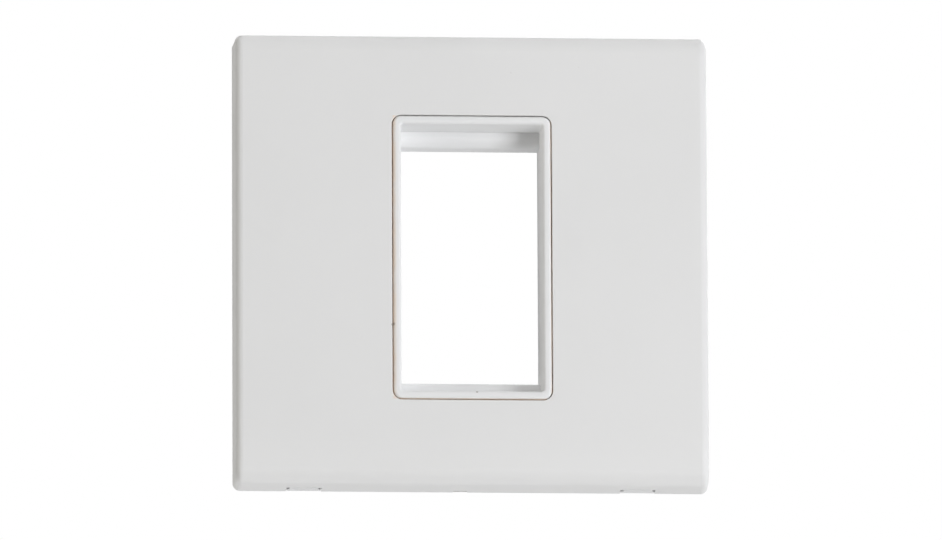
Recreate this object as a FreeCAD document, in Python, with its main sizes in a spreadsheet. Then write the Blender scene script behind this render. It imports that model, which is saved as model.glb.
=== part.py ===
import FreeCAD, Part

import math
import os

import Sketcher
from FreeCAD import Vector

# Screwless one-module faceplate for a flush wall box, in two white mouldings: a mounting
# frame that is screwed to the box and holds the module in its collar, and a cover plate
# that clips over the frame and hides the screws.
#
# X points right, Y points back into the wall and Z points up. The origin is the centre of
# the plate on the wall's surface. A level is a height in front of the wall, so it runs
# along -Y, and levels below zero are inside the box.

# Driving dimensions in millimetres (wall_draft and opening_draft in degrees).
SIZES = (
    ("plate_width", 90.0, "cover plate, outside, along X"),
    ("plate_height", 87.0, "cover plate, outside, along Z"),
    ("plate_depth", 9.5, "front face in front of the wall"),
    ("edge_rounding", 1.4, "round on the cover's outside edges and corners"),
    ("end_rounding", 3.3, "round between the front face and the top and bottom walls"),
    ("foot_crown", 7.9, "band along the bottom edge that curves back, along Z"),
    ("foot_crown_radius", 28.8, "its radius"),
    ("wall_draft", 2.0, "moulding draft of the side walls"),
    ("front_wall", 2.0, "thickness of the cover's front"),
    ("side_wall", 1.8, "thickness of the cover's sides"),
    ("cavity_corner", 1.2, "plan corner radius inside the cover"),
    ("cavity_rounding", 0.6, "round between the cover's front and sides, inside"),
    ("seam_gap", 0.14, "gap between the cover's aperture and the collar"),
    ("aperture_rounding", 0.2, "round on the aperture's front edge"),
    ("skirt_wall", 1.2, "thickness of the skirt round the aperture"),
    ("skirt_depth", 2.0, "how far the skirt reaches behind the cover's front"),
    ("cover_rib", 1.0, "thickness of the cover's ribs"),
    ("cover_rib_depth", 1.4, "how far they reach behind the cover's front"),
    ("cover_rib_rise", 20.0, "side ribs above and below the middle"),
    ("cover_rib_side", 9.0, "upright ribs left and right of the middle"),
    ("notch_offset", 31.6, "prise notches left and right of the middle"),
    ("notch_width", 6.6, "width of a prise notch"),
    ("notch_depth", 3.0, "depth of a prise notch from the cover's rear edge"),
    ("gate_offset", 2.0, "gate mark left of the middle"),
    ("gate_width", 2.7, "width of the gate mark"),
    ("gate_depth", 1.0, "depth of the gate mark from the cover's rear edge"),
    ("gate_sink", 0.12, "how far the gate mark is sunk in the cover's outer face"),
    ("opening_width", 26.9, "module opening, along X, at the rim"),
    ("opening_height", 51.6, "module opening, along Z, at the rim"),
    ("opening_corner", 0.5, "corner radius of the opening"),
    ("opening_draft", 1.2, "moulding draft of the opening's walls"),
    ("collar_wall", 1.55, "thickness of the collar"),
    ("collar_corner", 1.7, "outer corner radius of the collar"),
    ("collar_back", 3.0, "how far the collar reaches behind the wall's surface"),
    ("rim_proud", 0.15, "rim in front of the cover's face"),
    ("rim_rounding", 0.6, "round on both edges of the rim"),
    ("rail_setback", 6.9, "rail front behind the rim"),
    ("rail_reach", 3.0, "how far a rail stands into the opening"),
    ("rail_thickness", 4.6, "rail, front to back"),
    ("rail_nose", 1.8, "round on a rail's front edge"),
    ("frame_clearance", 0.6, "gap between the frame and the cover's inside"),
    ("frame_corner", 1.5, "plan corner radius of the frame"),
    ("web_thickness", 2.2, "back plate of the frame"),
    ("upstand_wall", 2.0, "thickness of the frame's upstand"),
    ("upstand_height", 4.6, "top of the upstand in front of the wall"),
    ("frame_rib", 1.4, "thickness of the frame's ribs"),
    ("frame_rib_height", 4.2, "top of the frame's ribs in front of the wall"),
    ("frame_rib_rise", 18.0, "side ribs above and below the middle"),
    ("frame_rib_side", 9.0, "upright ribs left and right of the middle"),
    ("screw_spacing", 60.3, "centres of the two wall screws"),
    ("screw_slot_width", 4.2, "slot for an M3.5 screw"),
    ("screw_slot_length", 7.6, "overall length of a screw slot"),
    ("head_clearance", 2.1, "head recess beyond the screw slot, all round"),
    ("head_seat", 2.0, "seat of the screw head in front of the wall"),
    ("boss_wall", 1.5, "wall round a head recess"),
    ("boss_height", 4.0, "top of a screw boss in front of the wall"),
    ("catch_offset", 21.0, "catches left and right of the middle"),
    ("finger_width", 8.0, "width of a catch finger"),
    ("finger_thickness", 1.2, "thickness of a catch finger"),
    ("finger_clearance", 0.25, "gap between a finger and the upstand"),
    ("finger_tip", 2.4, "tip of a finger in front of the wall"),
    ("catch_undercut", 0.4, "how far a catch reaches under its ledge"),
    ("catch_land", 0.3, "flat of a catch, front to back"),
    ("catch_ramp", 0.6, "lead-in of a catch, front to back"),
    ("catch_play", 0.1, "gap between a catch and its ledge"),
    ("ledge_thickness", 0.7, "ledge over a catch, front to back"),
    ("ledge_depth", 1.0, "how far the ledge overhangs its window"),
    ("window_clearance", 0.6, "window beyond a finger, all round"),
    ("pad_side_gap", 0.55, "gap beside a prise pad in its notch"),
    ("pad_front_gap", 0.15, "gap in front of a prise pad in its notch"),
    ("pad_foot", 1.6, "wider foot of a prise pad, from the wall"),
    ("pad_foot_gap", 0.12, "gap beside the foot"),
    ("pad_setback", 0.1, "prise pad inside the cover's outer face"),
)


def make_sheet(doc):
    """The sheet of driving dimensions, one row each: name, value and note."""
    sheet = doc.addObject("Spreadsheet::Sheet", "Sizes")
    for row, (alias, size, note) in enumerate(SIZES, start=1):
        sheet.set(f"A{row}", alias)
        sheet.set(f"B{row}", str(size))
        sheet.set(f"C{row}", note)
        sheet.setAlias(f"B{row}", alias)
    doc.recompute()
    return sheet


def size_of(doc, formula):
    """Value of a formula of sheet cells, as a number."""
    return float(doc.getObject("Sizes").evalExpression(formula))


# Sketches and features -----------------------------------------------------------------


def new_body(doc, label):
    body = doc.addObject("PartDesign::Body", label)
    body.Label = label
    return body


def origin_plane(body, role):
    for feature in body.Origin.OriginFeatures:
        if feature.Role == role:
            return feature
    raise RuntimeError(f"{body.Label} has no {role}")


def front_sketch(body, label, level="0"):
    """Sketch seen from the front (local x is X, local y is Z), at a level."""
    sketch = body.newObject("Sketcher::SketchObject", label)
    sketch.AttachmentSupport = [(origin_plane(body, "XZ_Plane"), "")]
    sketch.MapMode = "FlatFace"
    sketch.setExpression("AttachmentOffset.Base.z", level)
    return sketch


def side_sketch(body, label, across="0"):
    """Section sketch (local x is Y, local y is Z), at a distance across, along X."""
    sketch = body.newObject("Sketcher::SketchObject", label)
    sketch.AttachmentSupport = [(origin_plane(body, "YZ_Plane"), "")]
    sketch.MapMode = "FlatFace"
    sketch.setExpression("AttachmentOffset.Base.z", across)
    return sketch


def bind(sketch, constraint, formula):
    """Adds a dimension to a sketch and ties it to sheet cells."""
    index = sketch.addConstraint(constraint)
    sketch.setExpression(f"Constraints[{index}]", formula)


def pin_point(sketch, line, end, x_formula, y_formula):
    """Ties one end of a line to a place in the sketch."""
    x = size_of(sketch.Document, x_formula)
    y = size_of(sketch.Document, y_formula)
    bind(sketch, Sketcher.Constraint("DistanceX", -1, 1, line, end, x), x_formula)
    bind(sketch, Sketcher.Constraint("DistanceY", -1, 1, line, end, y), y_formula)


def draw_polygon(sketch, corners):
    """Closed outline through corners, each a pair of formulas."""
    doc = sketch.Document
    places = [Vector(size_of(doc, x), size_of(doc, y), 0) for x, y in corners]
    lines = []
    for start, end in zip(places, places[1:] + places[:1]):
        lines.append(sketch.addGeometry(Part.LineSegment(start, end), False))
    for line, following in zip(lines, lines[1:] + lines[:1]):
        sketch.addConstraint(Sketcher.Constraint("Coincident", line, 2, following, 1))
    for line, (x_formula, y_formula) in zip(lines, corners):
        pin_point(sketch, line, 1, x_formula, y_formula)


def draw_rectangle(sketch, left, right, bottom, top):
    draw_polygon(sketch, [(left, bottom), (right, bottom), (right, top), (left, top)])


def draw_centred_rounded(sketch, width, height, radius):
    """Rounded rectangle about the sketch's origin."""
    doc = sketch.Document
    half_x = size_of(doc, width) / 2
    half_y = size_of(doc, height) / 2
    r = size_of(doc, radius)
    inner_x = half_x - r
    inner_y = half_y - r
    z_axis = Vector(0, 0, 1)
    quarter = math.pi / 2
    sides = []
    for start, end in (
        ((-inner_x, -half_y), (inner_x, -half_y)),
        ((half_x, -inner_y), (half_x, inner_y)),
        ((inner_x, half_y), (-inner_x, half_y)),
        ((-half_x, inner_y), (-half_x, -inner_y)),
    ):
        line = Part.LineSegment(Vector(*start, 0), Vector(*end, 0))
        sides.append(sketch.addGeometry(line, False))
    bends = []
    for turn, centre in enumerate(
        ((inner_x, -inner_y), (inner_x, inner_y), (-inner_x, inner_y), (-inner_x, -inner_y))
    ):
        circle = Part.Circle(Vector(*centre, 0), z_axis, r)
        arc = Part.ArcOfCircle(circle, (turn - 1) * quarter, turn * quarter)
        bends.append(sketch.addGeometry(arc, False))
    for i in range(4):
        sketch.addConstraint(Sketcher.Constraint("Tangent", sides[i], 2, bends[i], 1))
        sketch.addConstraint(
            Sketcher.Constraint("Tangent", bends[i], 2, sides[(i + 1) % 4], 1)
        )
    for i in (0, 2):
        sketch.addConstraint(Sketcher.Constraint("Horizontal", sides[i]))
    for i in (1, 3):
        sketch.addConstraint(Sketcher.Constraint("Vertical", sides[i]))
    for i in (1, 2, 3):
        sketch.addConstraint(Sketcher.Constraint("Equal", bends[0], bends[i]))
    bind(sketch, Sketcher.Constraint("Radius", bends[0], r), radius)
    bottom, right, top, left = sides
    for line, kind, sign, full in (
        (bottom, "DistanceY", -1, height),
        (right, "DistanceX", 1, width),
        (top, "DistanceY", 1, height),
        (left, "DistanceX", -1, width),
    ):
        half = sign * size_of(doc, full) / 2
        place = Sketcher.Constraint(kind, -1, 1, line, 1, half)
        bind(sketch, place, f"{sign} * ({full}) / 2")


def draw_foot_crown(sketch, band, radius):
    """Section of what the crown along the bottom takes off the cover's front.

    The curve leaves the front face without a crease and runs on past the wall."""
    doc = sketch.Document
    front = "-Sizes.plate_depth"
    start = f"-(Sizes.plate_height / 2 - {band})"
    end = "-(Sizes.plate_height / 2 + Sizes.side_wall)"
    centre_x = f"{front} + {radius}"
    clear = f"{front} - Sizes.side_wall"
    r = size_of(doc, radius)
    front_x, start_y, end_y = (size_of(doc, value) for value in (front, start, end))
    clear_x = size_of(doc, clear)
    sweep = math.asin(abs(end_y - start_y) / r)
    end_x = front_x + r - r * math.cos(sweep)
    circle = Part.Circle(Vector(front_x + r, start_y, 0), Vector(0, 0, 1), r)
    arc = Part.ArcOfCircle(circle, math.pi, math.pi + sweep)
    curve = sketch.addGeometry(arc, False)
    corners = [
        Vector(front_x, start_y, 0),
        Vector(clear_x, start_y, 0),
        Vector(clear_x, end_y, 0),
        Vector(end_x, end_y, 0),
    ]
    near, across, far = (
        sketch.addGeometry(Part.LineSegment(a, b), False)
        for a, b in zip(corners, corners[1:])
    )
    for joint in (
        (curve, 1, near, 1),
        (near, 2, across, 1),
        (across, 2, far, 1),
        (far, 2, curve, 2),
    ):
        sketch.addConstraint(Sketcher.Constraint("Coincident", *joint))
    for kind, line in (("Horizontal", near), ("Vertical", across), ("Horizontal", far)):
        sketch.addConstraint(Sketcher.Constraint(kind, line))
    bind(sketch, Sketcher.Constraint("Radius", curve, r), radius)
    for kind, line, end_of, value in (
        ("DistanceX", curve, 3, centre_x),
        ("DistanceY", curve, 3, start),
        ("DistanceY", near, 1, start),
        ("DistanceX", across, 1, clear),
        ("DistanceY", far, 1, end),
    ):
        place = Sketcher.Constraint(kind, -1, 1, line, end_of, size_of(doc, value))
        bind(sketch, place, value)


def draw_slot(sketch, centre_x, length, width):
    """Level slot with round ends, of an overall length, about a point on local x."""
    doc = sketch.Document
    middle = size_of(doc, centre_x)
    r = size_of(doc, width) / 2
    reach = size_of(doc, length) / 2 - r
    z_axis = Vector(0, 0, 1)
    quarter = math.pi / 2
    right_centre = Vector(middle + reach, 0, 0)
    left_centre = Vector(middle - reach, 0, 0)
    below = Vector(0, -r, 0)
    above = Vector(0, r, 0)
    bottom = sketch.addGeometry(
        Part.LineSegment(left_centre + below, right_centre + below), False
    )
    right_end = sketch.addGeometry(
        Part.ArcOfCircle(Part.Circle(right_centre, z_axis, r), -quarter, quarter), False
    )
    top = sketch.addGeometry(
        Part.LineSegment(right_centre + above, left_centre + above), False
    )
    left_end = sketch.addGeometry(
        Part.ArcOfCircle(Part.Circle(left_centre, z_axis, r), quarter, 3 * quarter), False
    )
    ring = (bottom, right_end, top, left_end)
    for part, following in zip(ring, ring[1:] + ring[:1]):
        sketch.addConstraint(Sketcher.Constraint("Tangent", part, 2, following, 1))
    bind(sketch, Sketcher.Constraint("Radius", right_end, r), f"({width}) / 2")
    for end, sign in ((right_end, 1), (left_end, -1)):
        sketch.addConstraint(Sketcher.Constraint("PointOnObject", end, 3, -1))
        place = Sketcher.Constraint("DistanceX", -1, 1, end, 3, middle + sign * reach)
        bind(sketch, place, f"{centre_x} + {sign} * ({length} - {width}) / 2")


def pad(body, label, sketch, length, backwards=False, both_ways=False, taper=None):
    """Adds material: forwards from the sketch, backwards, or half each way."""
    feature = body.newObject("PartDesign::Pad", label)
    feature.Profile = sketch
    feature.Reversed = backwards
    feature.Midplane = both_ways
    feature.setExpression("Length", length)
    if taper:
        feature.setExpression("TaperAngle", taper)
    finish(body, feature, adds=True)
    return feature


def pocket(body, label, sketch, depth, forwards=False, both_ways=False, taper=None):
    """Cuts material away: backwards from the sketch, forwards, or half each way."""
    feature = body.newObject("PartDesign::Pocket", label)
    feature.Profile = sketch
    feature.Reversed = forwards
    feature.Midplane = both_ways
    feature.setExpression("Length", depth)
    if taper:
        feature.setExpression("TaperAngle", taper)
    finish(body, feature, adds=False)
    return feature


def finish(body, feature, adds):
    """Recomputes and makes sure that a pad added material or a pocket cut some."""
    before = body.Shape.Volume if not body.Shape.isNull() else 0.0
    body.Document.recompute()
    change = feature.Shape.Volume - before
    if (change > 0) != adds:
        raise RuntimeError(f"{feature.Label} changed the volume by {change:.2f} mm3")


def fillet(body, label, radius, chosen):
    """Rounds the edges of the body's last feature that a test picks."""
    base = body.Tip
    names = [
        f"Edge{i}" for i, edge in enumerate(base.Shape.Edges, start=1) if chosen(edge)
    ]
    if not names:
        raise RuntimeError(f"{label} found no edge")
    feature = body.newObject("PartDesign::Fillet", label)
    feature.Base = (base, names)
    feature.setExpression("Radius", radius)
    body.Document.recompute()
    return feature


def lies_at_level(edge, level):
    """True for an edge that lies wholly in the plane at a level."""
    box = edge.BoundBox
    return abs(box.YMin + level) < 1e-4 and abs(box.YMax + level) < 1e-4


def is_end_edge(doc, edge):
    """True for the cover's front edge along the top wall or along the bottom one."""
    box = edge.BoundBox
    middle = size_of(doc, "Sizes.plate_depth / 2")
    wall = size_of(doc, "Sizes.plate_height / 2 - Sizes.side_wall")
    return abs(box.Center.z) > wall and -box.Center.y > middle and box.XLength > wall


def is_side_edge(doc, edge):
    """True for an edge of the cover's side walls, but for those against the wall."""
    box = edge.BoundBox
    wall = size_of(doc, "Sizes.plate_width / 2 - Sizes.side_wall")
    return abs(box.Center.x) > wall and -box.YMin > 1e-3


# Formulas that both pieces share -------------------------------------------------------

UNDERSIDE = "(Sizes.plate_depth - Sizes.front_wall)"
COLLAR_WIDTH = "(Sizes.opening_width + 2 * Sizes.collar_wall)"
COLLAR_HEIGHT = "(Sizes.opening_height + 2 * Sizes.collar_wall)"
RIM_LEVEL = "(Sizes.plate_depth + Sizes.rim_proud)"
FRAME_INSET = "(Sizes.side_wall + Sizes.frame_clearance)"
FRAME_WIDTH = f"(Sizes.plate_width - 2 * {FRAME_INSET})"
FRAME_HEIGHT = f"(Sizes.plate_height - 2 * {FRAME_INSET})"
UPSTAND_FACE = f"({FRAME_HEIGHT} / 2 - Sizes.upstand_wall)"
LEDGE_LEVEL = "(Sizes.upstand_height - Sizes.ledge_thickness)"
SIDES = (-1, 1)


# Cover plate ---------------------------------------------------------------------------


def catch_section(sketch, side):
    """Section of a catch finger, at the top (side 1) or the bottom (side -1)."""
    outer = f"({UPSTAND_FACE} - Sizes.finger_clearance)"
    inner = f"({outer} - Sizes.finger_thickness)"
    nose = f"({UPSTAND_FACE} + Sizes.catch_undercut)"
    shoulder = f"({LEDGE_LEVEL} - Sizes.catch_play)"
    land = f"({shoulder} - Sizes.catch_land)"
    ramp = f"({land} - Sizes.catch_ramp)"
    root = f"({UNDERSIDE} + Sizes.front_wall / 2)"
    section = [
        (root, inner),
        (root, outer),
        (shoulder, outer),
        (shoulder, nose),
        (land, nose),
        (ramp, outer),
        ("Sizes.finger_tip", outer),
        ("Sizes.finger_tip", inner),
    ]
    draw_polygon(sketch, [(f"-{level}", f"{side} * {rise}") for level, rise in section])


def build_cover_plate(doc):
    """Tray with a rounded front edge, an aperture with a skirt, ribs and four catches."""
    body = new_body(doc, "cover_plate")

    outline = front_sketch(body, "cover_outline")
    draw_rectangle(
        outline,
        "-Sizes.plate_width / 2",
        "Sizes.plate_width / 2",
        "-Sizes.plate_height / 2",
        "Sizes.plate_height / 2",
    )
    pad(body, "cover_block", outline, "Sizes.plate_depth", taper="-Sizes.wall_draft")
    front = size_of(doc, "Sizes.plate_depth")
    crown = side_sketch(body, "foot_crown_section")
    draw_foot_crown(crown, "Sizes.foot_crown", "Sizes.foot_crown_radius")
    pocket(body, "foot_crown", crown, "Sizes.plate_width + 2", both_ways=True)
    fillet(body, "ends", "Sizes.end_rounding", lambda edge: is_end_edge(doc, edge))
    fillet(body, "sides", "Sizes.edge_rounding", lambda edge: is_side_edge(doc, edge))

    inside = front_sketch(body, "cavity_outline")
    draw_centred_rounded(
        inside,
        "(Sizes.plate_width - 2 * Sizes.side_wall)",
        "(Sizes.plate_height - 2 * Sizes.side_wall)",
        "Sizes.cavity_corner",
    )
    pocket(
        body, "cavity", inside, UNDERSIDE, forwards=True, taper="-Sizes.wall_draft"
    )
    underside = size_of(doc, UNDERSIDE)
    fillet(
        body,
        "cavity_edge",
        "Sizes.cavity_rounding",
        lambda edge: lies_at_level(edge, underside),
    )

    skirt = front_sketch(body, "skirt_outline", UNDERSIDE)
    draw_centred_rounded(
        skirt,
        f"({COLLAR_WIDTH} + 2 * Sizes.seam_gap + 2 * Sizes.skirt_wall)",
        f"({COLLAR_HEIGHT} + 2 * Sizes.seam_gap + 2 * Sizes.skirt_wall)",
        "Sizes.collar_corner + Sizes.seam_gap + Sizes.skirt_wall",
    )
    pad(body, "skirt", skirt, "Sizes.skirt_depth", backwards=True)

    ribs = front_sketch(body, "cover_rib_outlines", UNDERSIDE)
    half_rib = "Sizes.cover_rib / 2"
    skirt_side = f"({COLLAR_WIDTH} / 2 + Sizes.seam_gap + Sizes.skirt_wall / 2)"
    skirt_end = f"({COLLAR_HEIGHT} / 2 + Sizes.seam_gap + Sizes.skirt_wall / 2)"
    wall_side = "(Sizes.plate_width / 2 - Sizes.side_wall)"
    wall_end = "(Sizes.plate_height / 2 - Sizes.side_wall)"
    for side in SIDES:
        for end in SIDES:
            rise = f"{end} * Sizes.cover_rib_rise"
            draw_rectangle(
                ribs,
                f"{side} * {skirt_side}",
                f"{side} * {wall_side}",
                f"{rise} - {half_rib}",
                f"{rise} + {half_rib}",
            )
            across = f"{side} * Sizes.cover_rib_side"
            draw_rectangle(
                ribs,
                f"{across} - {half_rib}",
                f"{across} + {half_rib}",
                f"{end} * {skirt_end}",
                f"{end} * {wall_end}",
            )
    pad(body, "cover_ribs", ribs, "Sizes.cover_rib_depth", backwards=True)

    aperture = front_sketch(body, "aperture_outline", "Sizes.plate_depth")
    draw_centred_rounded(
        aperture,
        f"({COLLAR_WIDTH} + 2 * Sizes.seam_gap)",
        f"({COLLAR_HEIGHT} + 2 * Sizes.seam_gap)",
        "Sizes.collar_corner + Sizes.seam_gap",
    )
    pocket(body, "aperture", aperture, "Sizes.plate_depth")
    fillet(
        body,
        "aperture_edge",
        "Sizes.aperture_rounding",
        lambda edge: lies_at_level(edge, front)
        and edge.BoundBox.XMax < size_of(doc, f"{COLLAR_WIDTH} / 2 + 2 * Sizes.seam_gap")
        and edge.BoundBox.ZMax < size_of(doc, f"{COLLAR_HEIGHT} / 2 + 2 * Sizes.seam_gap"),
    )

    for name, side in zip(("left", "right"), SIDES):
        fingers = side_sketch(
            body, f"{name}_finger_sections", f"{side} * Sizes.catch_offset"
        )
        for end in SIDES:
            catch_section(fingers, end)
        pad(body, f"{name}_fingers", fingers, "Sizes.finger_width", both_ways=True)

    wall_foot = "-(Sizes.plate_height / 2 + 1)"
    wall_head = "-(Sizes.plate_height / 2 - Sizes.side_wall - 0.5)"
    notches = front_sketch(body, "notch_outlines")
    for side in SIDES:
        middle = f"{side} * Sizes.notch_offset"
        draw_rectangle(
            notches,
            f"{middle} - Sizes.notch_width / 2",
            f"{middle} + Sizes.notch_width / 2",
            wall_foot,
            wall_head,
        )
    pocket(body, "notches", notches, "Sizes.notch_depth", forwards=True)

    gate = front_sketch(body, "gate_outline")
    draw_rectangle(
        gate,
        "-Sizes.gate_offset - Sizes.gate_width / 2",
        "-Sizes.gate_offset + Sizes.gate_width / 2",
        wall_foot,
        "-(Sizes.plate_height / 2 - Sizes.gate_sink)",
    )
    pocket(body, "gate_mark", gate, "Sizes.gate_depth", forwards=True)
    return body


# Mounting frame ------------------------------------------------------------------------


def build_mounting_frame(doc):
    """Back plate with an upstand, a collar with module rails, bosses, ribs and ledges."""
    body = new_body(doc, "mounting_frame")

    web = front_sketch(body, "web_outline")
    draw_centred_rounded(web, FRAME_WIDTH, FRAME_HEIGHT, "Sizes.frame_corner")
    pad(body, "web", web, "Sizes.web_thickness")

    upstand = front_sketch(body, "upstand_outline")
    draw_centred_rounded(upstand, FRAME_WIDTH, FRAME_HEIGHT, "Sizes.frame_corner")
    draw_centred_rounded(
        upstand,
        f"({FRAME_WIDTH} - 2 * Sizes.upstand_wall)",
        f"({FRAME_HEIGHT} - 2 * Sizes.upstand_wall)",
        "Sizes.frame_corner",
    )
    pad(body, "upstand", upstand, "Sizes.upstand_height")

    collar = front_sketch(body, "collar_outline", "-Sizes.collar_back")
    draw_centred_rounded(collar, COLLAR_WIDTH, COLLAR_HEIGHT, "Sizes.collar_corner")
    pad(body, "collar", collar, f"Sizes.collar_back + {RIM_LEVEL}")

    ribs = front_sketch(body, "frame_rib_outlines")
    half_rib = "Sizes.frame_rib / 2"
    collar_side = f"({COLLAR_WIDTH} / 2 - Sizes.collar_wall / 2)"
    collar_end = f"({COLLAR_HEIGHT} / 2 - Sizes.collar_wall / 2)"
    upstand_side = f"({FRAME_WIDTH} / 2 - Sizes.upstand_wall / 2)"
    upstand_end = f"({FRAME_HEIGHT} / 2 - Sizes.upstand_wall / 2)"
    for side in SIDES:
        for end in SIDES:
            rise = f"{end} * Sizes.frame_rib_rise"
            draw_rectangle(
                ribs,
                f"{side} * {collar_side}",
                f"{side} * {upstand_side}",
                f"{rise} - {half_rib}",
                f"{rise} + {half_rib}",
            )
            across = f"{side} * Sizes.frame_rib_side"
            draw_rectangle(
                ribs,
                f"{across} - {half_rib}",
                f"{across} + {half_rib}",
                f"{end} * {collar_end}",
                f"{end} * {upstand_end}",
            )
        draw_rectangle(
            ribs,
            f"{side} * {collar_side}",
            f"{side} * {upstand_side}",
            f"-{half_rib}",
            half_rib,
        )
    pad(body, "frame_ribs", ribs, "Sizes.frame_rib_height")

    recess_width = "(Sizes.screw_slot_width + 2 * Sizes.head_clearance)"
    recess_length = "(Sizes.screw_slot_length + 2 * Sizes.head_clearance)"
    recess_top = "max(Sizes.boss_height; Sizes.frame_rib_height)"
    bosses = front_sketch(body, "boss_outlines")
    recesses = front_sketch(body, "recess_outlines", recess_top)
    slots = front_sketch(body, "screw_slot_outlines", "Sizes.head_seat")
    for side in SIDES:
        middle = f"{side} * Sizes.screw_spacing / 2"
        draw_slot(
            bosses,
            middle,
            f"({recess_length} + 2 * Sizes.boss_wall)",
            f"({recess_width} + 2 * Sizes.boss_wall)",
        )
        draw_slot(recesses, middle, recess_length, recess_width)
        draw_slot(slots, middle, "Sizes.screw_slot_length", "Sizes.screw_slot_width")
    pad(body, "bosses", bosses, "Sizes.boss_height")
    pocket(body, "head_recesses", recesses, f"{recess_top} - Sizes.head_seat")
    pocket(body, "screw_slots", slots, "Sizes.head_seat")

    opening = front_sketch(body, "opening_outline", RIM_LEVEL)
    draw_centred_rounded(
        opening, "Sizes.opening_width", "Sizes.opening_height", "Sizes.opening_corner"
    )
    pocket(
        body,
        "opening",
        opening,
        f"Sizes.collar_back + {RIM_LEVEL}",
        taper="-Sizes.opening_draft",
    )
    rim_level = size_of(doc, RIM_LEVEL)
    fillet(body, "rim", "Sizes.rim_rounding", lambda edge: lies_at_level(edge, rim_level))

    rails = side_sketch(body, "rail_sections")
    rail_front = f"({RIM_LEVEL} - Sizes.rail_setback)"
    rail_rear = f"({rail_front} - Sizes.rail_thickness)"
    rail_root = "(Sizes.opening_height / 2 + Sizes.collar_wall / 3)"
    rail_edge = "(Sizes.opening_height / 2 - Sizes.rail_reach)"
    for end in SIDES:
        draw_rectangle(
            rails,
            f"-{rail_front}",
            f"-{rail_rear}",
            f"{end} * {rail_edge}",
            f"{end} * {rail_root}",
        )
    pad(
        body,
        "rails",
        rails,
        "Sizes.opening_width + 2 * Sizes.collar_wall / 3",
        both_ways=True,
    )
    front_y = -size_of(doc, rail_front)
    edge_z = size_of(doc, rail_edge)
    fillet(
        body,
        "rail_noses",
        "Sizes.rail_nose",
        lambda edge: abs(edge.CenterOfMass.y - front_y) < 1e-3
        and abs(abs(edge.CenterOfMass.z) - edge_z) < 1e-3,
    )

    windows = front_sketch(body, "window_outlines")
    half_window = "(Sizes.finger_width / 2 + Sizes.window_clearance)"
    window_foot = (
        f"({UPSTAND_FACE} - Sizes.finger_clearance - Sizes.finger_thickness"
        " - Sizes.window_clearance)"
    )
    window_head = f"({UPSTAND_FACE} + Sizes.ledge_depth)"
    for side in SIDES:
        for end in SIDES:
            middle = f"{side} * Sizes.catch_offset"
            draw_rectangle(
                windows,
                f"{middle} - {half_window}",
                f"{middle} + {half_window}",
                f"{end} * {window_foot}",
                f"{end} * {window_head}",
            )
    pocket(body, "catch_windows", windows, LEDGE_LEVEL, forwards=True)

    for part, gap, height in (
        ("prise_pads", "Sizes.pad_side_gap", "Sizes.notch_depth - Sizes.pad_front_gap"),
        ("prise_pad_feet", "Sizes.pad_foot_gap", "Sizes.pad_foot"),
    ):
        outlines = front_sketch(body, f"{part}_outlines")
        half_pad = f"(Sizes.notch_width / 2 - {gap})"
        for side in SIDES:
            middle = f"{side} * Sizes.notch_offset"
            draw_rectangle(
                outlines,
                f"{middle} - {half_pad}",
                f"{middle} + {half_pad}",
                "-(Sizes.plate_height / 2 - Sizes.pad_setback)",
                f"-({FRAME_HEIGHT} / 2 - Sizes.upstand_wall / 2)",
            )
        pad(body, part, outlines, height)
    return body


# The faceplate -------------------------------------------------------------------------


def check_document(doc):
    """Stops if any object of the document failed."""
    for thing in doc.Objects:
        if "Invalid" in thing.State or "Error" in thing.State:
            raise RuntimeError(f"{thing.Label} failed: {thing.State}")


def write_piece(piece):
    """Stops at a bad shape, and writes a good one to parts/."""
    shape = piece.Shape
    if shape.isNull() or not shape.isValid() or len(shape.Solids) != 1:
        raise RuntimeError(f"{piece.Label} isn't one valid solid")
    shape.exportStep(os.path.join("parts", f"{piece.Label}.step"))
    box = shape.optimalBoundingBox()
    print(
        f"{piece.Label}: {shape.Volume:.1f} mm3,"
        f" x {box.XMin:.2f} to {box.XMax:.2f},"
        f" y {box.YMin:.2f} to {box.YMax:.2f},"
        f" z {box.ZMin:.2f} to {box.ZMax:.2f}"
    )


def main():
    doc = FreeCAD.newDocument("faceplate")
    make_sheet(doc)
    pieces = [build_cover_plate(doc), build_mounting_frame(doc)]
    doc.recompute()
    check_document(doc)
    os.makedirs("parts", exist_ok=True)
    for piece in pieces:
        write_piece(piece)


main()
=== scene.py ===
# %% [markdown]
# # A clip-on wall faceplate in white plastic
# The object is a one-module faceplate for a flush wall box. It is made of two mouldings: a
# mounting frame, screwed to the wall, with a deep collar that holds the module, and a cover
# plate that clips over the frame. Both were drawn as solids first. Everything here is in
# metres, in the same frame: X to the right, Y back into the wall and Z up, with the origin
# in the middle of the plate on the wall's surface.
#
# We start by loading the solids. They keep their names and their places, and the size of the
# box round each is printed.

import math

import bpy
from mathutils import Matrix, Vector


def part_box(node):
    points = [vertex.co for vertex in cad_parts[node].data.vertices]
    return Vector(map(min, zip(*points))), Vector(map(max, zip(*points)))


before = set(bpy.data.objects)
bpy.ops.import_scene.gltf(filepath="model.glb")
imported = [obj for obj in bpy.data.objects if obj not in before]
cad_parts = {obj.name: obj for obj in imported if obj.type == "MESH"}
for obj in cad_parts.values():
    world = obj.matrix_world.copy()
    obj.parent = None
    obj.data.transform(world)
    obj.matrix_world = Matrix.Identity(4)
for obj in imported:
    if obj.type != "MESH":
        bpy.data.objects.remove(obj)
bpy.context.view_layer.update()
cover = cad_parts["cover_plate"]
wall_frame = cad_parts["mounting_frame"]
MM = 0.001

cover_low, cover_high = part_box("cover_plate")
frame_low, frame_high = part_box("mounting_frame")
FRONT = cover_low.y
RIM = frame_low.y
print("cover plate, mm:", [round(size / MM, 2) for size in cover_high - cover_low])
print("mounting frame, mm:", [round(size / MM, 2) for size in frame_high - frame_low])

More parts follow.
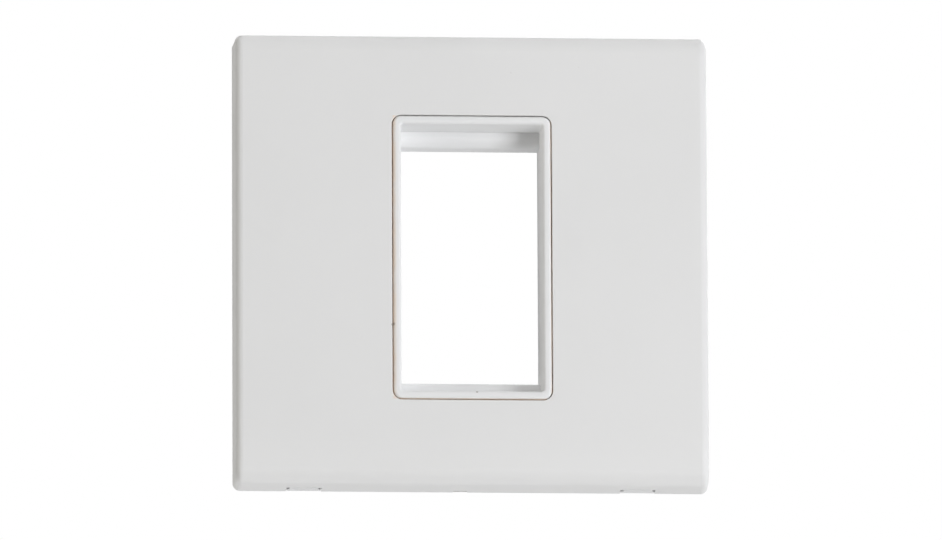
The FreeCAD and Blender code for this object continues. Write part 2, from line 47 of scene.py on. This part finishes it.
# %% [markdown]
# ## The collar's outline
# The seam between the two mouldings runs round the collar. Its outline is needed later, to
# put grime in the seam and nowhere else. It could be typed in again, but it is safer to
# read it from the model: the rim is the only part of the frame that comes as far forward as
# the cover's face. So the points of the frame that lie in front of the face, or just behind
# it, give the collar's width and height.

# %% Measure the collar from the rim
RIM_REACH = 0.3 * MM  # how far behind the cover's face the rim's points are taken
rim_points = [v.co for v in wall_frame.data.vertices if v.co.y < FRONT + RIM_REACH]
COLLAR_X = max(abs(p.x) for p in rim_points)
COLLAR_Z = max(abs(p.z) for p in rim_points)
print(f"collar outside: {2 * COLLAR_X / MM:.2f} by {2 * COLLAR_Z / MM:.2f} mm")

# %% [markdown]
# ## Small helpers for materials
# A material is a tree of nodes, and setting each node's values one by one makes long code.
# The helpers below do the repeated work: one adds a node with its values, one does sums on
# numbers or sockets, one multiplies several of them, one fades a value in between two
# limits, one makes noise and one mixes two colours. Groups would do as well, but plain
# functions are easier to follow, and they leave a flat tree that any exporter can read.

# %% Helpers for node materials
def new_material(name):
    """An empty node material, its tree and its output."""
    material = bpy.data.materials.new(name)
    material.use_nodes = True
    material.node_tree.nodes.clear()
    output = material.node_tree.nodes.new("ShaderNodeOutputMaterial")
    return material, material.node_tree, output


def add_node(tree, kind, **settings):
    """Adds a node. A setting is the value of an input, or else a property of the node."""
    node = tree.nodes.new(kind)
    for name, value in settings.items():
        if name in node.inputs:
            node.inputs[name].default_value = value
        else:
            setattr(node, name, value)
    return node


def math_node(tree, operation, first, second=0.0, third=0.0):
    """A Math node whose inputs are numbers or sockets of other nodes."""
    node = tree.nodes.new("ShaderNodeMath")
    node.operation = operation
    for socket, value in zip(node.inputs, (first, second, third)):
        if isinstance(value, bpy.types.NodeSocket):
            tree.links.new(value, socket)
        else:
            socket.default_value = value
    return node.outputs[0]


def product(tree, first, *others):
    """All the values multiplied together."""
    for other in others:
        first = math_node(tree, "MULTIPLY", first, other)
    return first


def fade(tree, value, start, end, low=0.0, high=1.0):
    """Runs smoothly from low to high while value goes from start to end."""
    node = tree.nodes.new("ShaderNodeMapRange")
    node.interpolation_type = "SMOOTHSTEP"
    tree.links.new(value, node.inputs["Value"])
    node.inputs["From Min"].default_value = start
    node.inputs["From Max"].default_value = end
    node.inputs["To Min"].default_value = low
    node.inputs["To Max"].default_value = high
    return node.outputs["Result"]


def noise(tree, place, scale, detail):
    """Noise between 0 and 1. A larger scale makes it finer."""
    node = add_node(tree, "ShaderNodeTexNoise", Scale=scale, Detail=detail)
    tree.links.new(place, node.inputs["Vector"])
    return node.outputs["Fac"]


def blend_colour(tree, factor, first, second):
    """Mixes two colours. Each one is a tuple or a socket."""
    node = tree.nodes.new("ShaderNodeMix")
    node.data_type = "RGBA"
    tree.links.new(factor, node.inputs["Factor"])
    for socket, value in ((node.inputs[6], first), (node.inputs[7], second)):
        if isinstance(value, bpy.types.NodeSocket):
            tree.links.new(value, socket)
        else:
            socket.default_value = (*value, 1.0)
    return node.outputs[2]


print("material helpers are ready")

# %% [markdown]
# ## Where dirt, painted shade and marks sit
# A faceplate is nearly one flat colour, so the few places where it isn't make it look real.
# The mouth of the seam round the collar turns a warm brown. This is partly dirt, which a cloth
# can't reach there, and partly painted shade where the two parts meet. Along the top it fades
# to a trace. On the left, the rim's lip gets a painted warm shade, on the side turned away
# from the key lamp. A darker, duller patch lies near the middle of the bottom wall. A few
# specks lie on the face, on the rim and in the seam. Each of these is a mask worked out from
# the piece's own coordinates: distances from the collar's outline and from the face for the
# seam, a small box for the bottom patch and a distance from a point for a speck. Painted
# textures would need image files and UV maps, and the masks need neither.

# %% Masks for the seam's dirt and painted shade, the left rim's painted shade, the bottom patch and the specks
# A warm brown: dirt with painted shade in the seam's mouth, and painted warm shade on the left
# rim.
DIRT_AND_SHADE_BROWN = (0.76, 0.55, 0.37)
SPECK = (0.16, 0.12, 0.09)
# A darker grey for a patch near the middle of the bottom wall.
BOTTOM_PATCH_GREY = (0.38, 0.37, 0.36)

SEAM_MIDDLE = 0.07 * MM  # outside the collar's outline
BOTTOM_PATCH_X = -2.0 * MM

# Each pair is where a fade starts and where it ends.
SEAM_NEAR = (0.14 * MM, 0.32 * MM)  # from the seam's middle, fading out
SEAM_LIP = (-0.05 * MM, 0.3 * MM)  # behind the face, fading in
SEAM_MOUTH = (1.0 * MM, 2.6 * MM)  # behind the face, fading out
SEAM_TOP = (-1.0 * MM, -0.3 * MM)  # above the collar's top, fading to a trace
# These place the painted warm shade on the left of the rim's lip.
LEFT_SHADE_RIM = (-1.0 * MM, -0.3 * MM)  # outside the collar's outline, fading in
LEFT_SHADE_SEAM = (0.0, 0.05 * MM)  # outside the collar's outline, fading out
LEFT_SHADE_SIDE = (1.0 * MM, 0.3 * MM)  # right of the collar's left side, fading in
LEFT_SHADE_DEPTH = (0.3 * MM, 1.0 * MM)  # behind the face, fading out
BOTTOM_PATCH_SIDE = (1.17 * MM, 1.43 * MM)  # from the patch's middle, fading out
BOTTOM_PATCH_LOW = (0.25 * MM, 0.1 * MM)  # above the cover's lowest point, fading in
BOTTOM_PATCH_REAR = (-1.5 * MM, -1.0 * MM)  # along Y, fading in
SPECK_SOFT = (0.4, 1.2)  # shares of a speck's radius, fading out

# A mark's patches: the noise's scale and detail, where it fades in, and the lowest value.
SEAM_PATCHES = (420.0, 3.0, 0.3, 0.62, 0.6)
LEFT_SHADE_PATCHES = (260.0, 3.0, 0.3, 0.6, 0.4)
BOTTOM_PATCH_NOISE = (900.0, 2.0, 0.35, 0.6, 0.5)
SEAM_TRACE = 0.1  # what is left of the seam's dirt and painted shade along the top


def off_collar(tree, axes):
    """Distance outside the collar's outline. It is below zero over the rim and inside."""
    off_middle_x = math_node(tree, "ABSOLUTE", axes.outputs["X"])
    off_middle_z = math_node(tree, "ABSOLUTE", axes.outputs["Z"])
    across = math_node(tree, "SUBTRACT", off_middle_x, COLLAR_X)
    upright = math_node(tree, "SUBTRACT", off_middle_z, COLLAR_Z)
    return math_node(tree, "MAXIMUM", across, upright)


def behind_face(tree, axes, start, end):
    """1 at the cover's face and fading to 0 behind it, between two depths."""
    depth = math_node(tree, "SUBTRACT", axes.outputs["Y"], FRONT)
    return fade(tree, depth, start, end, 1.0, 0.0)


def patches(tree, place, scale, detail, start, end, low):
    """1 in some places and down to low in others."""
    return fade(tree, noise(tree, place, scale, detail), start, end, low, 1.0)


def seam_dirt_and_shade_mask(tree, axes, place):
    """1 in the seam's mouth, for dirt and painted shade, fading out at its lips and with
    depth, uneven along it.
    """
    outside = off_collar(tree, axes)
    off_middle = math_node(tree, "ABSOLUTE", math_node(tree, "SUBTRACT", outside, SEAM_MIDDLE))
    near = fade(tree, off_middle, *SEAM_NEAR, 1.0, 0.0)
    below_lip = fade(tree, axes.outputs["Y"], *[FRONT + depth for depth in SEAM_LIP])
    mouth = behind_face(tree, axes, *SEAM_MOUTH)
    patchy = patches(tree, place, *SEAM_PATCHES)
    top = [COLLAR_Z + height for height in SEAM_TOP]
    less_at_top = fade(tree, axes.outputs["Z"], *top, 1.0, SEAM_TRACE)
    return product(tree, near, below_lip, mouth, patchy, less_at_top)


def left_rim_shade_mask(tree, axes, place):
    """Painted warm shade on the rim's lip, inside the seam and on its left side only, away
    from the key lamp.
    """
    outside = off_collar(tree, axes)
    on_rim = fade(tree, outside, *LEFT_SHADE_RIM)
    off_seam = fade(tree, outside, *LEFT_SHADE_SEAM, 1.0, 0.0)
    left = fade(tree, axes.outputs["X"], *[-COLLAR_X + width for width in LEFT_SHADE_SIDE])
    patchy = patches(tree, place, *LEFT_SHADE_PATCHES)
    shallow = behind_face(tree, axes, *LEFT_SHADE_DEPTH)
    return product(tree, on_rim, off_seam, left, patchy, shallow)


def bottom_patch_mask(tree, axes, place):
    """A darker, duller patch near the middle of the bottom wall, at its rear edge."""
    sideways = math_node(tree, "SUBTRACT", axes.outputs["X"], BOTTOM_PATCH_X)
    across = fade(tree, math_node(tree, "ABSOLUTE", sideways), *BOTTOM_PATCH_SIDE, 1.0, 0.0)
    low = fade(tree, axes.outputs["Z"], *[cover_low.z + height for height in BOTTOM_PATCH_LOW])
    rear = fade(tree, axes.outputs["Y"], *BOTTOM_PATCH_REAR)
    patchy = patches(tree, place, *BOTTOM_PATCH_NOISE)
    return product(tree, across, low, rear, patchy)


def speck_mask(tree, coordinates, centre, radius, strength):
    """A soft round spot about a point of the piece, in metres."""
    node = add_node(tree, "ShaderNodeVectorMath", operation="DISTANCE")
    tree.links.new(coordinates, node.inputs[0])
    node.inputs[1].default_value = centre
    limits = [share * radius for share in SPECK_SOFT]
    return fade(tree, node.outputs["Value"], *limits, strength, 0.0)


print("masks: seam, stain, gate and specks")

# %% [markdown]
# ## The white plastic
# Both mouldings are of the same satin white plastic. Up close it has three scales of
# detail: a broad, very faint clouding of its colour, a gloss that wanders a little from
# place to place, and the fine grain of a spark-eroded mould, which breaks up reflections.
# One Principled shader gives all of them, with noise on Object coordinates, so that nothing
# slides when a piece moves. The clean colour is mixed with the masks' colours one after the
# other, and the seam's dirt and painted shade, the left rim's painted shade and the bottom
# patch also take away some gloss.

# %% Build the plastic
CLOUD_NOISE = 28.0
CLOUD_DARK, CLOUD_LIGHT = 0.992, 1.006  # shares of the clean colour
GLOSS_NOISE = 60.0
GLOSS_SPREAD = 0.04  # how far the roughness wanders, up and down
GRAIN_NOISE = 3600.0
GRAIN_STRENGTH = 0.15
GRAIN_DEPTH = 0.02 * MM
PLASTIC_IOR = 1.46
# The shares are for the seam's dirt and painted shade, the left rim's painted shade and the
# bottom patch.
SEAM_DIRT_AND_SHADE_SHARE, LEFT_SHADE_SHARE, BOTTOM_PATCH_SHARE = 0.65, 0.4, 0.85  # how much of its colour a mark gives
DULLING = 0.2  # what a full mark adds to the roughness

COVER_SPECKS = (
    # centre in metres, radius, strength
    ((7.5 * MM, FRONT, 35.8 * MM), 0.16 * MM, 0.12),
    ((20.4 * MM, FRONT, 37.0 * MM), 0.14 * MM, 0.10),
    ((-COLLAR_X - 0.16 * MM, FRONT + 0.1 * MM, -13.1 * MM), 0.30 * MM, 0.6),
)
FRAME_SPECKS = (
    ((0.8 * MM, RIM + 0.18 * MM, -26.0 * MM), 0.26 * MM, 0.6),
    ((-COLLAR_X + 0.05 * MM, RIM + 0.2 * MM, -13.0 * MM), 0.34 * MM, 0.6),
)


def white_plastic(name, shade, roughness, seed, specks, has_bottom_patch):
    """Satin moulded plastic of a clean colour and a mean roughness. seed moves its noise."""
    material, tree, output = new_material(name)
    coordinates = add_node(tree, "ShaderNodeTexCoord").outputs["Object"]
    shift = add_node(tree, "ShaderNodeMapping", Location=(seed, seed, seed))
    tree.links.new(coordinates, shift.inputs["Vector"])
    place = shift.outputs["Vector"]
    axes = add_node(tree, "ShaderNodeSeparateXYZ")
    tree.links.new(coordinates, axes.inputs["Vector"])

    cloud = fade(tree, noise(tree, place, CLOUD_NOISE, 3.0), 0.35, 0.65)
    darker = tuple(CLOUD_DARK * c for c in shade)
    lighter = tuple(CLOUD_LIGHT * c for c in shade)
    colour = blend_colour(tree, cloud, darker, lighter)

    # The seam's mouth turns warm brown: partly dirt, partly painted shade between the two
    # parts.
    seam_dirt_and_shade = seam_dirt_and_shade_mask(tree, axes, place)
    colour = blend_colour(tree, product(tree, seam_dirt_and_shade, SEAM_DIRT_AND_SHADE_SHARE), colour, DIRT_AND_SHADE_BROWN)
    # Painted warm shade on the left of the rim's lip, the side turned away from the key lamp.
    left_rim_shade = left_rim_shade_mask(tree, axes, place)
    colour = blend_colour(tree, product(tree, left_rim_shade, LEFT_SHADE_SHARE), colour, DIRT_AND_SHADE_BROWN)
    dull = math_node(tree, "MAXIMUM", seam_dirt_and_shade, left_rim_shade)
    # A darker, duller patch near the middle of the bottom wall.
    if has_bottom_patch:
        bottom_patch = bottom_patch_mask(tree, axes, place)
        colour = blend_colour(tree, product(tree, bottom_patch, BOTTOM_PATCH_SHARE), colour, BOTTOM_PATCH_GREY)
        dull = math_node(tree, "MAXIMUM", dull, bottom_patch)
    for centre, radius, strength in specks:
        spot = speck_mask(tree, coordinates, centre, radius, strength)
        colour = blend_colour(tree, spot, colour, SPECK)

    shader = add_node(tree, "ShaderNodeBsdfPrincipled", IOR=PLASTIC_IOR)
    tree.links.new(colour, shader.inputs["Base Color"])
    smoothest, roughest = roughness - GLOSS_SPREAD, roughness + GLOSS_SPREAD
    clean = fade(tree, noise(tree, place, GLOSS_NOISE, 3.0), 0.3, 0.7, smoothest, roughest)
    rough = math_node(tree, "MULTIPLY_ADD", dull, DULLING, clean)
    tree.links.new(rough, shader.inputs["Roughness"])

    grain = noise(tree, place, GRAIN_NOISE, 2.0)
    bump = add_node(tree, "ShaderNodeBump", Strength=GRAIN_STRENGTH, Distance=GRAIN_DEPTH)
    tree.links.new(grain, bump.inputs["Height"])
    tree.links.new(bump.outputs["Normal"], shader.inputs["Normal"])
    tree.links.new(shader.outputs["BSDF"], output.inputs["Surface"])
    return material


# %% [markdown]
# ## Dress the two mouldings
# The solids' shapes are right as they are, rounds and drafts included, so they stay, and
# each one only gets its material. The frame is moulded apart from the cover, and it is a
# touch lighter and less glossy. A separate seed keeps the two from sharing their clouding.

# %% Put the plastic on both pieces
COVER_WHITE = (0.72, 0.72, 0.72)
FRAME_WHITE = (0.762, 0.765, 0.77)
COVER_ROUGHNESS = 0.56
FRAME_ROUGHNESS = 0.68
COVER_SEED = 0.37
FRAME_SEED = 0.81
for piece, *look in (
    (
        cover, "cover_white_plastic",
        COVER_WHITE, COVER_ROUGHNESS, COVER_SEED, COVER_SPECKS, True,
    ),
    (
        wall_frame, "frame_white_plastic",
        FRAME_WHITE, FRAME_ROUGHNESS, FRAME_SEED, FRAME_SPECKS, False,
    ),
):
    made = white_plastic(*look)
    for slot in piece.material_slots:
        slot.material = made
    print(piece.name, "wears", made.name, "with", len(made.node_tree.nodes), "nodes")

# %% [markdown]
# ## A pale floor and a white backdrop
# The plate is shown by itself on white, so the studio is only a wide floor well below it
# and an even world behind it. The backdrop shouldn't light the plate from all sides, which
# would flatten it. So the Light Path node splits the rays: those that look at the backdrop,
# straight or in a reflection, find plain white, and all others find the floor's real
# colour and the world's real light. The floor is clear from underneath, so that the plate
# can also be looked at from below.

# %% Floor
FLOOR_DROP = 0.7
FLOOR_SIZE = 14.0
FLOOR_GREY = (0.55, 0.55, 0.55, 1.0)
BACKDROP_WHITE = (1.0, 1.0, 1.0, 1.0)


def is_seen(tree):
    """1 for the rays that show the backdrop itself, 0 for those that carry its light."""
    path = add_node(tree, "ShaderNodeLightPath").outputs
    seen = math_node(tree, "MAXIMUM", path["Is Camera Ray"], path["Is Glossy Ray"])
    return math_node(tree, "MAXIMUM", seen, path["Is Transmission Ray"])


bpy.ops.mesh.primitive_plane_add(size=FLOOR_SIZE, location=(0, 0, -FLOOR_DROP))
floor = bpy.context.object
floor.name = "floor"
material, tree, output = new_material("pale_floor")
matt = add_node(tree, "ShaderNodeBsdfDiffuse", Color=FLOOR_GREY)
bright = add_node(tree, "ShaderNodeEmission", Color=BACKDROP_WHITE, Strength=1.0)
mix = add_node(tree, "ShaderNodeMixShader")
tree.links.new(is_seen(tree), mix.inputs["Fac"])
tree.links.new(matt.outputs["BSDF"], mix.inputs[1])
tree.links.new(bright.outputs["Emission"], mix.inputs[2])
underneath = add_node(tree, "ShaderNodeNewGeometry").outputs["Backfacing"]
clear = add_node(tree, "ShaderNodeBsdfTransparent")
one_way = add_node(tree, "ShaderNodeMixShader")
tree.links.new(underneath, one_way.inputs["Fac"])
tree.links.new(mix.outputs["Shader"], one_way.inputs[1])
tree.links.new(clear.outputs["BSDF"], one_way.inputs[2])
tree.links.new(one_way.outputs["Shader"], output.inputs["Surface"])
floor.data.materials.append(material)
print(f"floor {FLOOR_DROP} m below the plate's middle")

# %% World
WORLD_LIGHT = 0.03
world = bpy.data.worlds.new("studio")
bpy.context.scene.world = world
world.use_nodes = True
tree = world.node_tree
tree.nodes.clear()
output = add_node(tree, "ShaderNodeOutputWorld")
dim = add_node(tree, "ShaderNodeBackground", Color=BACKDROP_WHITE, Strength=WORLD_LIGHT)
white = add_node(tree, "ShaderNodeBackground", Color=BACKDROP_WHITE, Strength=1.0)
mix = add_node(tree, "ShaderNodeMixShader")
tree.links.new(is_seen(tree), mix.inputs["Fac"])
tree.links.new(dim.outputs["Background"], mix.inputs[1])
tree.links.new(white.outputs["Background"], mix.inputs[2])
tree.links.new(mix.outputs["Shader"], output.inputs["Surface"])
print("world: white where it is seen,", WORLD_LIGHT, "where it lights")

# %% [markdown]
# ## Soft lamps round the plate
# One soft lamp to the right of the lens does most of the work: it draws the shadow on the
# module rails and lifts the rounds that face it. Weaker ones stand for the white walls, the
# ceiling and the table of a small product studio: above, below, to both sides and behind.
# The left wall is a warm white. Each lamp's level is the light that it gives on a face
# turned straight to it. Together the lamps come to about 0.85 on the front face. The
# backdrop's reflection and the light off the floor add to that, so a colour renders about as
# it is written.

# %% Lamps
WHITE = (1.0, 1.0, 1.0)
WARM = (1.0, 0.965, 0.88)
COOL = (1.0, 1.005, 1.014)
LAMPS = (
    # name, azimuth and elevation in degrees, distance and size in metres, level, colour
    ("key", 42.0, -5.0, 1.4, 0.66, 0.793, COOL),
    ("top_front", 0.0, 45.0, 1.4, 0.5, 0.23, WHITE),
    ("top_back", 180.0, 80.0, 1.2, 0.8, 0.35, WHITE),
    ("back_wall", 150.0, 30.0, 1.6, 0.6, 0.35, WHITE),
    ("table_front", 0.0, -80.0, 0.62, 0.6, 0.055, WHITE),
    ("table_back", 180.0, -60.0, 0.75, 0.6, 0.265, WHITE),
    ("table_left", -95.0, -55.0, 0.62, 0.5, 0.12, WHITE),
    ("table_right", 95.0, -55.0, 0.62, 0.5, 0.12, WHITE),
    ("left_wall", -71.0, 0.0, 1.4, 0.5, 0.29, WARM),
    ("right_wall", 125.0, 0.0, 1.2, 0.8, 0.12, WHITE),
)


def aim(thing, place, target, roll=0.0):
    """Puts a lamp or a camera at a place, looking at the target."""
    away = Vector(place) - Vector(target)
    turn = away.to_track_quat("Z", "Y").to_matrix().to_4x4()
    thing.matrix_world = Matrix.Translation(place) @ turn @ Matrix.Rotation(roll, 4, "Z")


def from_angles(azimuth, elevation):
    """Unit vector from the plate towards an azimuth and an elevation, in degrees."""
    a, e = math.radians(azimuth), math.radians(elevation)
    return Vector((math.sin(a) * math.cos(e), -math.cos(a) * math.cos(e), math.sin(e)))


def add_lamp(name, azimuth, elevation, distance, size, level, colour):
    """A square soft lamp. level is the light it gives on a face turned to it.

    A lamp of P watts gives P / (pi d^2) at a distance d straight ahead, and a matt face
    shows a pi-th of that.
    """
    data = bpy.data.lights.new(name, "AREA")
    data.shape = "SQUARE"
    data.size = size
    data.color = colour
    data.energy = level * math.pi * math.pi * distance * distance
    lamp = bpy.data.objects.new(name, data)
    bpy.context.scene.collection.objects.link(lamp)
    aim(lamp, distance * from_angles(azimuth, elevation), (0, 0, 0))


for values in LAMPS:
    add_lamp(*values)
print(len(LAMPS), "lamps")

# %% [markdown]
# ## A long lens from just below
# The camera looks slightly up at the plate and slightly from its left, from 3 m away. At
# that distance the plate keeps nearly parallel sides, as a long lens shows it. The camera
# is placed by its angles and its distance from the point it looks at, and the lens alone
# sets how large the plate comes out.

# %% Camera
CAMERA_AZIMUTH = -3.5
CAMERA_ELEVATION = -12.0
CAMERA_ROLL = -0.27
CAMERA_DISTANCE = 3.0
SENSOR = 36.0
LENS = 605.5
FAR_CLIP = 50.0
AIM = Vector((0.05 * MM, -4.69 * MM, -1.46 * MM))

camera_data = bpy.data.cameras.new("camera")
camera = bpy.data.objects.new("camera", camera_data)
bpy.context.scene.collection.objects.link(camera)
camera_data.sensor_width = SENSOR
camera_data.lens = LENS
camera_data.clip_end = FAR_CLIP
place = AIM + CAMERA_DISTANCE * from_angles(CAMERA_AZIMUTH, CAMERA_ELEVATION)
aim(camera, place, AIM, math.radians(CAMERA_ROLL))
bpy.context.scene.camera = camera
bpy.context.scene.view_settings.view_transform = "Standard"
print("camera at", [round(value, 3) for value in place])
